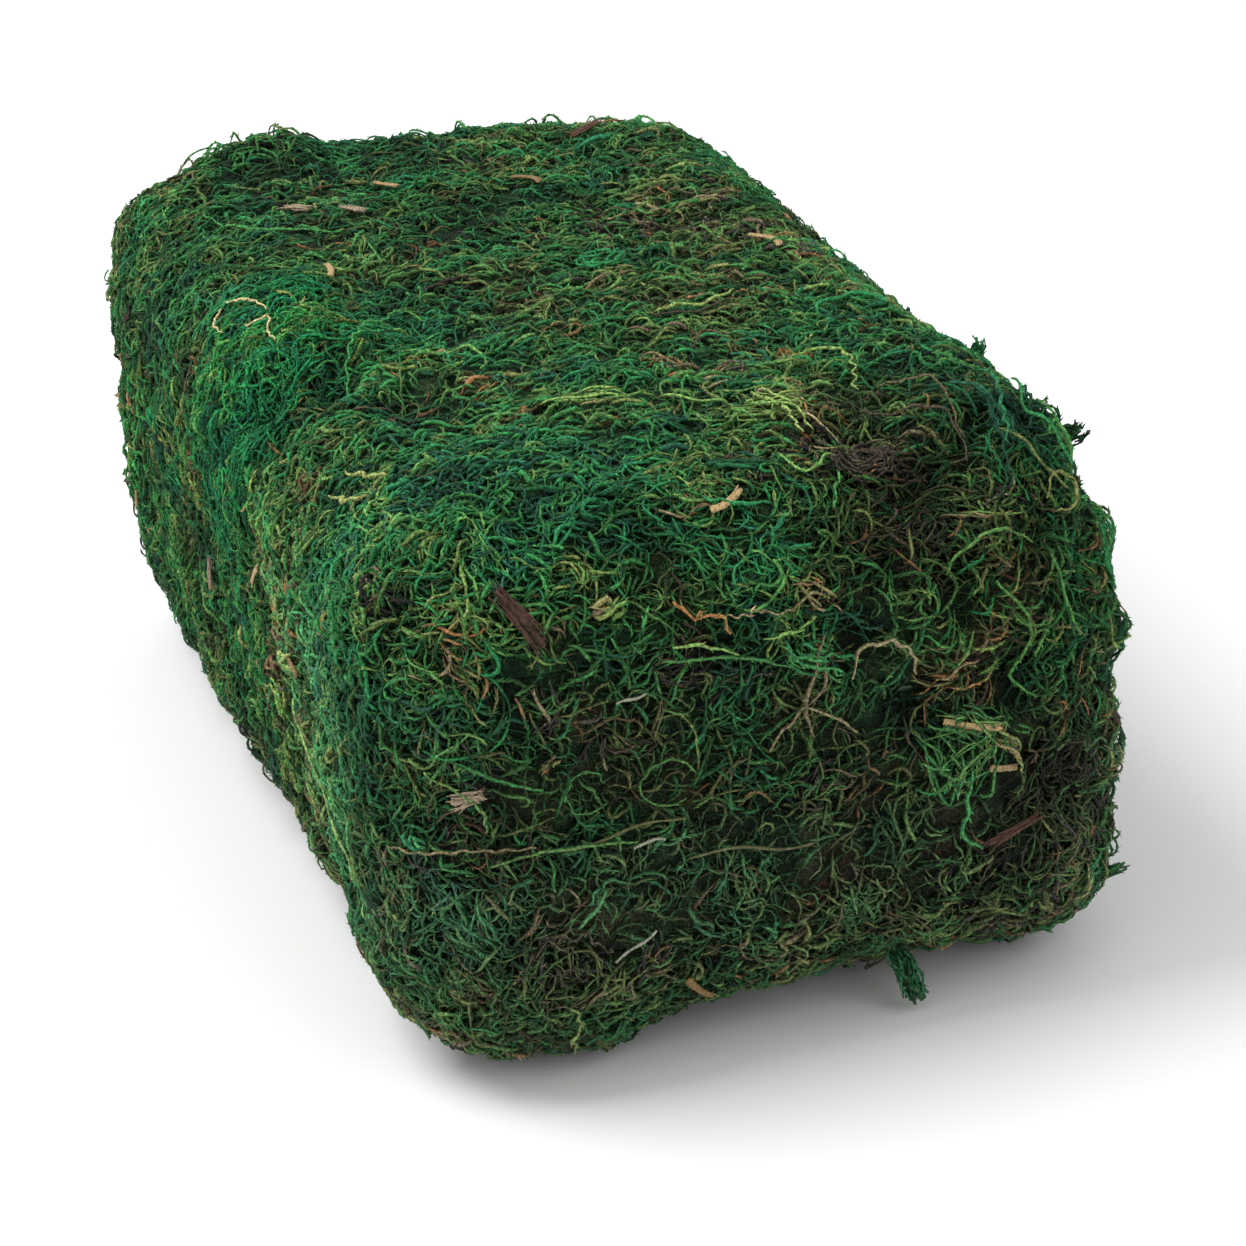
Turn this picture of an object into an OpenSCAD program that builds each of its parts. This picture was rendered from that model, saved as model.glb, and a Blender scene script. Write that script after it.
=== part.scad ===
// Floral foam brick clad in preserved sheet moss.
// A dry foam brick with its edges shaved round is wrapped in torn mats of sheet moss, and bent wire
// greening pins hold the mats to the foam. X is the width, Y the length, and the brick stands on Z = 0.

/* [Foam core] */
// Width of the foam brick
foam_w = 110; // [90:1:140]
// Length of the foam brick
foam_l = 230; // [220:1:300]
// Height of the foam brick
foam_h = 80; // [76:1:100]
// Radius that the foam's edges are shaved to
foam_edge_r = 16; // [10:1:20]

/* [Moss] */
// Thickness of the moss on every face
moss_t = 8; // [6:0.5:10]
// Length of the front mat over the top, from the front face to the seam
top_front_l = 83; // [70:1:95]
// Length of the front mats on the two long sides, from the front face to the seam
side_front_l = 73; // [66:1:80]
// Height of the seam between the lower and the upper mat on the front face
front_seam_z = 42; // [36:1:48]
// Width of the loose clump on the front right top corner
clump_w = 40; // [34:1:44]
// Length of the loose clump on the front right top corner
clump_l = 44; // [36:1:50]
// Height of the loose clump below the top face
clump_h = 38; // [30:1:40]
// Length of the patch laid over the left top edge
patch_l = 60; // [40:1:70]
// Width of the patch on the top face
patch_w = 26; // [25:1:32]
// Height of the patch below the top face
patch_h = 34; // [28:1:38]

/* [Greening pins] */
// Diameter of the pin wire
wire_d = 1.3; // [1:0.1:1.6]
// Distance between the two legs of a pin
pin_w = 12; // [8:1:14]
// Length of a pin's legs, point included
pin_l = 38; // [32:1:38]
// Depth of a pin's crown under the moss surface
crown_depth = 5.5; // [5:0.1:5.9]

/* [Plant debris] */
// Diameter of a straw stalk
straw_d = 1.4; // [1:0.1:2]
// Thickness of a bark sliver
bark_t = 1.2; // [0.8:0.1:1.6]
// Diameter of a bare moss stem
stem_d = 0.9; // [0.7:0.1:1.2]
// How far the debris stands out of the moss
debris_proud = 0.5; // [0.3:0.1:0.6]

/* [Hidden] */

$fn = 48;
over = 1; // how far a cutting box runs past what it cuts

block_w = foam_w + 2 * moss_t;
block_l = foam_l + 2 * moss_t;
block_h = foam_h + 2 * moss_t;
block_r = foam_edge_r + moss_t;
left_x = -block_w / 2;
right_x = block_w / 2;
front_y = -block_l / 2;
back_y = block_l / 2;
wall_top_z = block_h - block_r;
top_seam_y = front_y + top_front_l;
side_seam_y = front_y + side_front_l;
front_wall_y = front_y + block_r;
back_wall_y = back_y - block_r;

// Where the pins go in, on each face. The rows keep the legs inside the foam clear of each other.
pin_row_y = [-100, -62, -12, 34, 78];
top_pin_x = [0, 0, -22, 22, -8];
bottom_pin_x = [0, 0, 22, -22, 8];
side_pin_y = [-64, -36, 20, 68];
side_pin_z = block_h / 2;
end_pin_x = [-25, 25];
clump_pin = [40, -104];
patch_pin_y = -2;

// Straw stalks: the face, the place along and up it, the turn in the face and the length.
straws = [
    ["front", 31, 51, -18, 10], ["front", 36, 42, -16, 5], ["front", -15, 13, -58, 9],
    ["front", -3, 91, 22, 6], ["top", -34, 16, 80, 9], ["top", 40, -7, -78, 10],
    ["top", 13, 54, -75, 10], ["top", -11, 68, -70, 8], ["left", -86, 36, 38, 8],
    ["left", 38, 64, 36, 10], ["left", 63, 57, -20, 5], ["right", -60, 50, 28, 9],
    ["right", 10, 66, -34, 7], ["right", 76, 38, 12, 10], ["back", -30, 56, 22, 9],
    ["back", 26, 38, -50, 8], ["back", 4, 66, 8, 6]];
// Bark slivers: the same five values, then the width.
barks = [
    ["front", -38, 82, -60, 11, 2.6], ["front", -49, 55, 12, 5, 2.4], ["front", 37, 31, 12, 9, 1.6],
    ["top", -30, 61, -65, 7, 2.2], ["top", -21, 52, -70, 6, 2], ["left", -12, 46, 80, 6, 1.6],
    ["right", -20, 40, 35, 11, 2.4], ["back", 10, 48, 60, 12, 2.4], ["top", 34, 84, 40, 9, 2]];
// Bare stems: the same five values as a straw.
stems = [
    ["front", -27, 45, 2, 22], ["front", -6, 38, -5, 20], ["front", -22, 42, 8, 5],
    ["front", -26, 26, 28, 8], ["front", -23, 67, 5, 5], ["top", 17, -38, 8, 15],
    ["left", 42, 44, 30, 30], ["right", 30, 54, -10, 38], ["back", -12, 58, -14, 30]];

// A block with every edge and corner round, standing on Z = 0.
module rounded_block(w, l, h, r) {
    half_x = w / 2 - r;
    half_y = l / 2 - r;
    translate([-half_x, -half_y, 0]) cube([2 * half_x, 2 * half_y, h]);
    translate([-w / 2, -half_y, r]) cube([w, 2 * half_y, h - 2 * r]);
    translate([-half_x, -l / 2, r]) cube([2 * half_x, l, h - 2 * r]);
    for (x = [-half_x, half_x], y = [-half_y, half_y])
        translate([x, y, r]) cylinder(h = h - 2 * r, r = r);
    for (x = [-half_x, half_x], z = [r, h - r])
        translate([x, half_y, z]) rotate([90, 0, 0]) cylinder(h = 2 * half_y, r = r);
    for (y = [-half_y, half_y], z = [r, h - r])
        translate([-half_x, y, z]) rotate([0, 90, 0]) cylinder(h = 2 * half_x, r = r);
    for (x = [-half_x, half_x], y = [-half_y, half_y], z = [r, h - r])
        translate([x, y, z]) sphere(r = r);
}

module foam_block() {
    translate([0, 0, moss_t]) rounded_block(foam_w, foam_l, foam_h, foam_edge_r);
}

module moss_skin() {
    difference() {
        rounded_block(block_w, block_l, block_h, block_r);
        foam_block();
    }
}

// A box from one corner to the other, which picks one mat out of the skin.
module between(low, high) {
    translate(low) cube(high - low);
}

module mat(low, high) {
    intersection() {
        moss_skin();
        between(low, high);
    }
}

module clump_space() {
    between([right_x - clump_w, front_y - over, block_h - clump_h],
        [right_x + over, front_y + clump_l, block_h + over]);
}

module patch_space() {
    between([left_x - over, top_seam_y, block_h - patch_h],
        [left_x + patch_w, top_seam_y + patch_l, block_h + over]);
}

module foam_core() {
    color([0.29, 0.42, 0.24]) foam_block();
}

module bottom_mat() {
    color([0.11, 0.24, 0.13])
        mat([left_x - over, front_y - over, -over], [right_x + over, back_y + over, block_r]);
}

module front_lower_mat() {
    color([0.14, 0.24, 0.15])
        mat([left_x - over, front_y - over, block_r], [right_x + over, front_wall_y, front_seam_z]);
}

module front_upper_mat() {
    color([0.16, 0.27, 0.14]) difference() {
        mat([left_x - over, front_y - over, front_seam_z], [right_x + over, front_wall_y, wall_top_z]);
        clump_space();
    }
}

module back_mat() {
    color([0.15, 0.27, 0.15])
        mat([left_x - over, back_wall_y, block_r], [right_x + over, back_y + over, wall_top_z]);
}

module left_front_mat() {
    color([0.2, 0.33, 0.2])
        mat([left_x - over, front_wall_y, block_r], [0, side_seam_y, wall_top_z]);
}

module left_back_mat() {
    color([0.21, 0.34, 0.22]) difference() {
        mat([left_x - over, side_seam_y, block_r], [0, back_wall_y, wall_top_z]);
        patch_space();
    }
}

module right_front_mat() {
    color([0.17, 0.28, 0.16]) difference() {
        mat([0, front_wall_y, block_r], [right_x + over, side_seam_y, wall_top_z]);
        clump_space();
    }
}

module right_back_mat() {
    color([0.18, 0.3, 0.18])
        mat([0, side_seam_y, block_r], [right_x + over, back_wall_y, wall_top_z]);
}

module top_front_mat() {
    color([0.16, 0.33, 0.19]) difference() {
        mat([left_x - over, front_y - over, wall_top_z], [right_x + over, top_seam_y, block_h + over]);
        clump_space();
    }
}

module top_back_mat() {
    color([0.2, 0.33, 0.2]) difference() {
        mat([left_x - over, top_seam_y, wall_top_z], [right_x + over, back_y + over, block_h + over]);
        patch_space();
    }
}

module corner_clump() {
    color([0.13, 0.24, 0.12]) intersection() {
        moss_skin();
        clump_space();
    }
}

module edge_patch() {
    color([0.05, 0.4, 0.22]) intersection() {
        moss_skin();
        patch_space();
    }
}

// One pin: its crown's middle at the origin, its legs and points along -Z.
module greening_pin() {
    bend_r = wire_d * 1.5;
    point_l = wire_d * 2;
    straight_l = pin_l - bend_r - point_l;
    translate([-(pin_w / 2 - bend_r), 0, 0]) rotate([0, 90, 0])
        cylinder(h = pin_w - 2 * bend_r, d = wire_d);
    for (side = [0, 1]) mirror([side, 0, 0]) {
        translate([pin_w / 2 - bend_r, 0, -bend_r]) rotate([90, 0, 0])
            rotate_extrude(angle = 90) translate([bend_r, 0]) circle(d = wire_d);
        translate([pin_w / 2, 0, -bend_r - straight_l]) cylinder(h = straight_l, d = wire_d);
        translate([pin_w / 2, 0, -pin_l]) cylinder(h = point_l, d1 = wire_d / 4, d2 = wire_d);
    }
}

module greening_pins() {
    color([0.3, 0.34, 0.3]) {
        for (i = [0 : len(pin_row_y) - 1]) {
            translate([top_pin_x[i], pin_row_y[i], block_h - crown_depth]) greening_pin();
            translate([bottom_pin_x[i], pin_row_y[i], crown_depth]) rotate([180, 0, 0]) greening_pin();
        }
        for (y = side_pin_y) {
            translate([left_x + crown_depth, y, side_pin_z]) rotate([0, -90, 0]) rotate([0, 0, 90])
                greening_pin();
            translate([right_x - crown_depth, y, side_pin_z]) rotate([0, 90, 0]) rotate([0, 0, 90])
                greening_pin();
        }
        for (x = end_pin_x) {
            for (z = [(block_r + front_seam_z) / 2, (front_seam_z + wall_top_z) / 2])
                translate([x, front_y + crown_depth, z]) rotate([90, 0, 0]) greening_pin();
            translate([x, back_y - crown_depth, side_pin_z]) rotate([-90, 0, 0]) greening_pin();
        }
        translate([clump_pin[0], clump_pin[1], block_h - crown_depth]) greening_pin();
        translate([left_x + crown_depth, patch_pin_y, wall_top_z - pin_w / 4]) rotate([0, -90, 0])
            rotate([0, 0, 90]) greening_pin();
    }
}

// The turn about Z from the front face to each upright face.
function wall_turn(face) = face == "front" ? 0 : face == "right" ? 90 : face == "back" ? 180 : -90;

// Puts its children on a face of the block, lying in the skin with +Z out of it and sunk under it. On an
// upright face, along runs left to right for someone facing it and up is the height; the place may be on
// one of the rounded edges. On the top, along is X and up is Y.
module on_face(face, along, up, sink) {
    is_end = face == "front" || face == "back";
    width = is_end ? block_w : block_l;
    depth = is_end ? block_l : block_w;
    past_side = sign(along) * max(abs(along) - (width / 2 - block_r), 0);
    past_flat = max(up - wall_top_z, 0) - max(block_r - up, 0);
    turn = asin(past_side / block_r);
    tip = asin(past_flat / block_r);
    set_back = block_r * (2 - cos(turn) - cos(tip));
    if (face == "top")
        translate([along, up, block_h - sink]) children();
    else
        rotate([0, 0, wall_turn(face)]) translate([along, set_back - depth / 2, up])
            rotate([-tip, 0, turn]) translate([0, sink, 0]) rotate([90, 0, 0]) children();
}

module stalk(length, d) {
    translate([-length / 2, 0, 0]) rotate([0, 90, 0]) cylinder(h = length, d = d);
}

module straw_stalks() {
    color([0.78, 0.66, 0.42]) for (s = straws)
        on_face(s[0], s[1], s[2], straw_d / 2 - debris_proud) rotate([0, 0, s[3]]) stalk(s[4], straw_d);
}

module bark_slivers() {
    color([0.36, 0.22, 0.15]) for (s = barks)
        on_face(s[0], s[1], s[2], bark_t / 2 - debris_proud) rotate([0, 0, s[3]])
            cube([s[4], s[5], bark_t], center = true);
}

module bare_stems() {
    color([0.4, 0.36, 0.2]) for (s = stems)
        on_face(s[0], s[1], s[2], stem_d / 2 - debris_proud) rotate([0, 0, s[3]]) stalk(s[4], stem_d);
}

foam_core();
bottom_mat();
front_lower_mat();
front_upper_mat();
back_mat();
left_front_mat();
left_back_mat();
right_front_mat();
right_back_mat();
top_front_mat();
top_back_mat();
corner_clump();
edge_patch();
greening_pins();
straw_stalks();
bark_slivers();
bare_stems();
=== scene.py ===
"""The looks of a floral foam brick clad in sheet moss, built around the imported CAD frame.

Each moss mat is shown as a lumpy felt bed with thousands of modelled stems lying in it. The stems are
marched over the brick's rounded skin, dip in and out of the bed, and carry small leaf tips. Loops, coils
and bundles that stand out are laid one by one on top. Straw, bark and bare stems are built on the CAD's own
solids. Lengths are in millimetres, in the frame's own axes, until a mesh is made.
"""

import math

import bpy
import numpy as np
from mathutils import Matrix, Vector


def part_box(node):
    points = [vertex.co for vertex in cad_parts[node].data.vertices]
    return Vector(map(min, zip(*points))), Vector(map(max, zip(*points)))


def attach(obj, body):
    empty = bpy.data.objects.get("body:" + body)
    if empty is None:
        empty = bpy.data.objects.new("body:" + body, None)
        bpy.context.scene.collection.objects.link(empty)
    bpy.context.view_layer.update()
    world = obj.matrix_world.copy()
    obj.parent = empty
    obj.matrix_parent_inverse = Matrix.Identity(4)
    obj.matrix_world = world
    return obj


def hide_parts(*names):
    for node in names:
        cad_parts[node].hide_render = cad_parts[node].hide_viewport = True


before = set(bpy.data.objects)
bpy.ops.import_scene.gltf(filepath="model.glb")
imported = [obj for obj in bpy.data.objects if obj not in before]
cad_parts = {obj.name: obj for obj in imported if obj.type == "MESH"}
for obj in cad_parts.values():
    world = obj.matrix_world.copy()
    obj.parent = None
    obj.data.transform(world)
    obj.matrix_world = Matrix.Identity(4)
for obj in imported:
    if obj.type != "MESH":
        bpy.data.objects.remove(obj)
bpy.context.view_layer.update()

MM = 0.001
TINY = 1e-6  # keeps a length of nothing from being divided by
SEED = 20
SIDES = 3  # each moss stem is a three-sided tube, shaded smooth
MOST_LIGHT = 1.5  # the light of the most bleached stems, where 1 is the most of the common ones
RING_GAP = 0.75  # how far apart the rings of a stem laid one by one are
LEAF_RISE = 0.3  # how far a leaf stands above its stem, for its painted depth shade
FLOOR_GAP = 0.03  # nothing reaches lower than this above the floor
BED_DEPTH = 2.2  # how far the felt under the stems lies below the moss surface
DEEPEST = 7.5  # the most that the felt is sunk into a mat, which is 8 thick
FRONT = -121  # how far forward the points laid at the front are given, before they move onto the skin
FACE_DEPTH = 4  # a point on the skin belongs to a face when it is no further than this behind it


def node_box(node):
    """Lowest and highest corner of a CAD node, in millimetres."""
    low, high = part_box(node)
    return np.array(low) / MM, np.array(high) / MM


# The block's own measures, read from the frame. Its edges are rounded with the radius EDGE_R.
WIDE, LONG, EDGE_R = node_box("bottom_mat")[1]
BLOCK_TOP = node_box("top_back_mat")[1][2]
HALF = np.array([WIDE, LONG, BLOCK_TOP / 2])
CENTRE = np.array([0.0, 0.0, BLOCK_TOP / 2])

CLOD_HEIGHT = 2.4  # how much the loose clump heaves, and how much painted light brightens its raised clods
CLOD_PAINTED_LIGHT = 0.6
HOLE_DEPTH = 4.5  # how deep the gaps in HOLES are, and how much painted shade darkens them
HOLE_SHADE = 0.58

# Swellings (+) and hollows (-) of the moss: where, how far they reach, and how high.
LUMPS = [
    ((-26, 108, 98), 12, 5.0),  # tuft on the back edge
    ((-56, 112, 90), 9, 1.4),  # back left corner
    ((-44, 110, 94), 10, -0.8),
    ((-2, 114, 95), 26, -1.3),  # back edge
    ((22, 118, 94), 16, -1.2),
    ((42, 106, 95), 15, -4.5),
    ((58, 72, 88), 18, 1.8),  # right edge of the top
    ((58, 34, 88), 16, 1.0),
    ((56, -52, 90), 16, -1.2),
    ((-63, 106, 66), 16, -1.2),  # left side
    ((-61, -66, 16), 10, -2.6),
    ((-60, -30, 8), 34, -1.1),
    ((-46, -114, 3), 8, -1.0),
    ((-28, -113, 2), 6, 3.0),  # the underside lifts off the floor at the front
    ((-6, -113, 3), 22, -3.6),
    ((28, -113, 4), 15, -4.0),
    ((14, -114, 3), 9, -2.6),
    ((42, -113, 4), 12, -1.0),
    ((57, -112, 8), 7, 1.0),
    ((-33, -66, 96), 7, -2.5),
    ((-44, -22, 94), 10, 2.4),  # the patch's own thickness
    ((-56, -8, 88), 12, 2.0),
    ((-44, 14, 95), 12, 1.6),
    ((60, -102, 84), 12, -2.2),  # the clump's outer side
    ((61, -106, 76), 6, -1.4),
    ((62, -110, 56), 6, 3.0),
    ((61, -110, 38), 5, 1.2),
    ((61, -109, 22), 10, -1.6),
    ((40, -119, 62), 14, 2.4),
    ((48, -116, 80), 9, 2.0),
    ((6, -116, 88), 9, 1.6),
]

# Deep gaps between the tufts of the loose clump and beside it, dark with painted shade: where and how wide.
HOLES = [
    ((23, -104, 94), 8), ((26, -116, 86), 6), ((34, -112, 90), 6), ((30, -119, 74), 6), ((44, -117, 78), 5),
    ((52, -113, 70), 6), ((38, -120, 58), 5), ((50, -116, 50), 5), ((46, -119, 38), 9), ((12, -121, 68), 5),
    ((19, -119, 80), 6), ((57, -105, 80), 5), ((50, -104, 90), 4), ((40, -106, 92), 4), ((22, -121, 56), 5),
    ((-46, -39, 94), 5), ((-54, -29, 88), 5), ((-37, -53, 96), 6),
]

# Places where the moss has another colour, and places with painted light and shade: where, reach, shift of
# tone and shift of light.
TONE_AND_PAINTED_LIGHT_SPOTS = [
    ((-48, 0, 93), 25, 0.25, 0.06),  # the emerald patch
    ((-58, -22, 80), 14, 0.26, 0.06),
    ((-36, -82, 96), 30, 0.16, 0.16),  # green front left of the top
    ((-6, -113, 88), 18, 0.14, 0.14),
    ((-32, -116, 86), 16, 0.12, 0.14),
    ((-52, -100, 84), 16, 0.12, 0.02),
    ((14, -90, 96), 10, -0.08, 0.12),  # yellow-green round the pale stems
    ((-12, -72, 96), 10, -0.10, 0.10),
    # painted shade in gaps of HOLES, with a browner tone
    ((23, -106, 93), 12, -0.25, -0.36),
    ((26, -118, 80), 9, -0.16, -0.30),  # brown holes, with painted shade
    ((47, -119, 38), 12, -0.34, -0.20),
    # painted shade on the clump's outer side
    ((57, -106, 82), 17, 0.06, -0.16),
    ((-63, -70, 50), 50, 0.0, 0.12),  # painted light on the left side and the front of the top
    ((0, -60, 96), 55, 0.02, 0.12),
    ((50, -104, 91), 11, 0.30, -0.20),  # dark teal top of the clump
    ((38, -120, 66), 19, -0.12, 0.06),
    ((35, -120, 62), 8, -0.10, 0.24),  # painted highlight on its sunlit tufts
    ((48, -114, 81), 7, -0.08, 0.24),
    ((43, -119, 50), 6, -0.10, 0.18),
    ((36, -50, 96), 22, -0.08, 0.02),  # browner right side of the top
    ((34, 14, 96), 20, -0.16, -0.03),
    ((-37, -121, 22), 11, -0.22, -0.08),  # brown swirl low on the front
    ((10, -121, 20), 40, -0.14, -0.04),
    ((-22, -121, 66), 18, -0.10, -0.12),
    ((6, 60, 96), 18, 0.10, 0.04),
    ((-20, 90, 96), 20, 0.06, -0.10),
]


def smooth_noise(points, size, seed):
    """Value noise from -1 to 1 with lumps of that size, at points given in millimetres."""
    cells = 32
    table = np.random.default_rng(seed).uniform(-1, 1, (cells, cells, cells))
    grid = points / size
    base = np.floor(grid).astype(int)
    part = grid - base
    part = part * part * (3 - 2 * part)
    total = np.zeros(points.shape[:-1])
    for corner in np.ndindex(2, 2, 2):
        weight = np.prod(np.where(corner, part, 1 - part), axis=-1)
        index = (base + corner) % cells
        total += weight * table[index[..., 0], index[..., 1], index[..., 2]]
    return total


def nearness(points, centre, reach):
    """From 1 at the centre down to 0 well past that reach."""
    gap = np.linalg.norm(points - np.array(centre), axis=-1)
    return np.exp(-((gap / reach) ** 2))


def unit(vectors):
    """The vectors with length one."""
    return vectors / np.maximum(np.linalg.norm(vectors, axis=-1, keepdims=True), TINY)


def tangent(vectors, normal):
    """The vectors laid into the skin, with length one."""
    return unit(vectors - np.sum(vectors * normal, -1, keepdims=True) * normal)


def skin(points):
    """Distance of points outside the block's rounded skin, and the skin's outward normal there."""
    offset = points - CENTRE
    beyond = np.abs(offset) - (HALF - EDGE_R)
    outside = np.maximum(beyond, TINY)
    reach = np.linalg.norm(outside, axis=-1, keepdims=True)
    return reach[..., 0] - EDGE_R, np.sign(offset) * outside / reach


def on_skin(points):
    """The points moved straight onto the skin, and the normals there."""
    distance, normal = skin(points)
    return points - distance[..., None] * normal, normal


def clods(points):
    """Lumps from -1 to 1, at their strongest in the loose clump and gone away from it."""
    loose = nearness(points, (52, -106, 80), 22) + 0.8 * nearness(points, (34, -120, 60), 17)
    return loose * smooth_noise(points, 8, 14)


def relief(points):
    """Height of the moss above or below the CAD skin, at points on the skin."""
    height = 1.0 * smooth_noise(points, 24, 1) + 0.9 * smooth_noise(points, 9, 2)
    height += 0.5 * smooth_noise(points, 4.5, 8) + CLOD_HEIGHT * clods(points)
    for centre, reach, lift in LUMPS:
        height += lift * nearness(points, centre, reach)
    for centre, reach in HOLES:
        height -= HOLE_DEPTH * nearness(points, centre, reach)
    return np.maximum(height, BED_DEPTH - DEEPEST)


def scatter(count, rng, keep):
    """Points spread evenly over the skin, thinned by the share that keep gives at each."""
    tries = 400000  # points thrown into the block's box at a time
    shell = 1.5  # those this near to the skin are moved onto it
    found = []
    total = 0
    while total < count:
        cloud = rng.uniform(-1, 1, (tries, 3)) * HALF + CENTRE
        distance, normal = skin(cloud)
        near = np.abs(distance) < shell
        cloud = cloud[near] - distance[near, None] * normal[near]
        cloud = cloud[rng.random(len(cloud)) < keep(cloud)]
        found.append(cloud)
        total += len(cloud)
    return np.concatenate(found)[:count]


def march(roots, heading, length, rings, curl, rng, bends=None):
    """Walks over the skin from each root, turning at random or by bends, in radians a millimetre at each
    ring: the points on the skin and the normals there, ring by ring."""
    count = len(roots)
    step = (length / (rings - 1))[:, None]
    steady = rng.normal(0, 1, count) * curl * 0.4
    wander = rng.normal(0, 1, count) * curl
    point = roots.copy()
    _, normal = skin(point)
    heading = tangent(heading, normal)
    points, normals = [point], [normal]
    for ring in range(rings - 1):
        wander = 0.45 * wander + rng.normal(0, 0.9, count) * curl
        bend = steady + wander if bends is None else bends[:, ring] + wander
        turn = bend[:, None] * step
        heading = heading * np.cos(turn) + np.cross(normal, heading) * np.sin(turn)
        point, normal = on_skin(point + heading * step)
        heading = tangent(heading, normal)
        points.append(point)
        normals.append(normal)
    return np.stack(points, 1), np.stack(normals, 1)


# ---- stems


class Stems:
    """Stems with the same number of rings: their paths and radii ring by ring, which way is out of the moss,
    how far each ring rises from the moss surface, each stem's tone and light, and the share of rings with a
    leaf."""

    def __init__(self, path, radius, up, rise, tone, light, leafy):
        self.path = path
        self.radius = radius
        self.up = up
        self.rise = rise
        self.tone = np.clip(tone, 0, 1)
        self.light = np.clip(light, 0, MOST_LIGHT)
        self.leafy = leafy

    def only(self, mask):
        """The stems that the mask picks."""
        return Stems(self.path[mask], self.radius[mask], self.up[mask], self.rise[mask], self.tone[mask],
                     self.light[mask], self.leafy)

    def faces(self):
        """About how many triangles each stem comes to."""
        rings = self.path.shape[1]
        return 2 * SIDES * (rings - 1) + 2 + 4 * self.leafy * (rings - 2)


def colours_at(points):
    """The moss's tone and light at points on the skin: tone runs from brown through olive to emerald, and
    light mixes the moss's own paleness with painted light and shade.
    """
    tone = 0.51 + 0.16 * smooth_noise(points, 22, 3) + 0.36 * smooth_noise(points, 5, 4)
    light = 0.5 + 0.26 * smooth_noise(points, 13, 5) + 0.3 * smooth_noise(points, 5, 7)
    light += 0.2 * smooth_noise(points, 9, 2) + 0.14 * smooth_noise(points, 4.5, 8)  # painted light and shade: the relief's own noise, so hollows are darker and rises lighter
    # painted light on the raised clods of the loose clump
    light += CLOD_PAINTED_LIGHT * clods(points)
    for centre, reach, tone_shift, light_shift in TONE_AND_PAINTED_LIGHT_SPOTS:
        fade = nearness(points, centre, reach)
        tone += tone_shift * fade
        light += light_shift * fade
    # painted shade in the gaps of HOLES
    for centre, reach in HOLES:
        light -= HOLE_SHADE * nearness(points, centre, reach)
    return tone, light


def lay_stems(roots, heading, length, rings, thickness, curl, sink, wave, lift, leafy, rng, bends=None,
              arch=0.0):
    """Stems lying in the moss: sink sets how deep, wave how far they pass over and under, lift how far their
    tips rise, and arch how high they stand off the moss between their ends."""
    count = len(roots)
    path, normal = march(roots, heading, length, rings, curl, rng, bends)
    along = np.linspace(0, 1, rings)[None, :]
    phase = rng.uniform(0, 2 * np.pi, (count, 1))
    turns = length[:, None] / rng.uniform(6, 13, (count, 1))
    rise = sink[:, None] + wave * np.sin(phase + turns * 2 * np.pi * along)
    rise = rise + lift[:, None] * along ** 2 - 0.6 * (2 * along - 1) ** 4
    rise = rise + np.reshape(arch, (-1, 1)) * np.sin(np.pi * along)
    path = path + normal * (relief(path) + rise)[..., None]
    taper = 0.66 + 0.45 * np.sin(np.pi * (0.1 + 0.8 * along))
    knobbly = 1 + 0.2 * rng.normal(0, 1, (count, rings))
    radius = thickness[:, None] * taper * np.clip(knobbly, 0.6, 1.5)
    path[..., 2] = np.maximum(path[..., 2], radius)
    tone, light = colours_at(roots)
    tone = tone + rng.normal(0, 0.13, count)
    light = np.minimum(light + rng.normal(0, 0.25, count), 1)
    return Stems(path, radius, normal, rise, tone, light, leafy)


def density(points):
    """The share of stems kept at points on the skin: a little less on the back and the right side, and much
    less on the underside, where the moss is pressed flat."""
    far = (points[:, 0] > WIDE - FACE_DEPTH) | (points[:, 1] > LONG - FACE_DEPTH)
    return np.where(points[:, 2] < FACE_DEPTH / 2, 0.12, np.where(far, 0.92, 1.0))


def flow(points):
    """Which way the moss is combed at points on the skin: in slow swirls, and mostly level in front."""
    combed = np.stack([smooth_noise(points, 17, seed) for seed in (11, 12, 13)], -1)
    combed[:, 0] += np.where(points[:, 1] < FACE_DEPTH - LONG, 0.7, 0.0)
    return combed


def tangle(rng):
    """The moss over the whole skin: single stems of three lengths, and sprigs of stems that run together."""
    kinds = [
        # count, length low-high, rings, thickness low-high, curl, sink low-high, leafy share
        (22400, 3.5, 8, 8, 0.16, 0.31, 0.48, -1.9, -0.3, 0.6),
        (9900, 7, 13, 12, 0.16, 0.31, 0.38, -1.9, -0.3, 0.5),
        (800, 14, 26, 22, 0.18, 0.28, 0.2, -1.0, -0.1, 0.3),
    ]
    batches = []
    for count, short, long, rings, thin, thick, curl, deep, high, leafy in kinds:
        roots = scatter(count, rng, density)
        heading = flow(roots) * 1.6 + rng.normal(0, 0.7, (count, 3))
        length = rng.uniform(short, long, count)
        thickness = rng.uniform(thin, thick, count) * np.exp(rng.normal(0, 0.2, count))
        sink = rng.uniform(deep, high, count)
        lift = np.clip(rng.normal(-0.2, 0.6, count), -1.5, 1.0)
        wave = 0.55
        batches.append(lay_stems(roots, heading, length, rings, thickness, curl, sink, wave, lift, leafy,
                                 rng))
    batches.append(sprigs(1800, 8, rng))
    return batches


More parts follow.
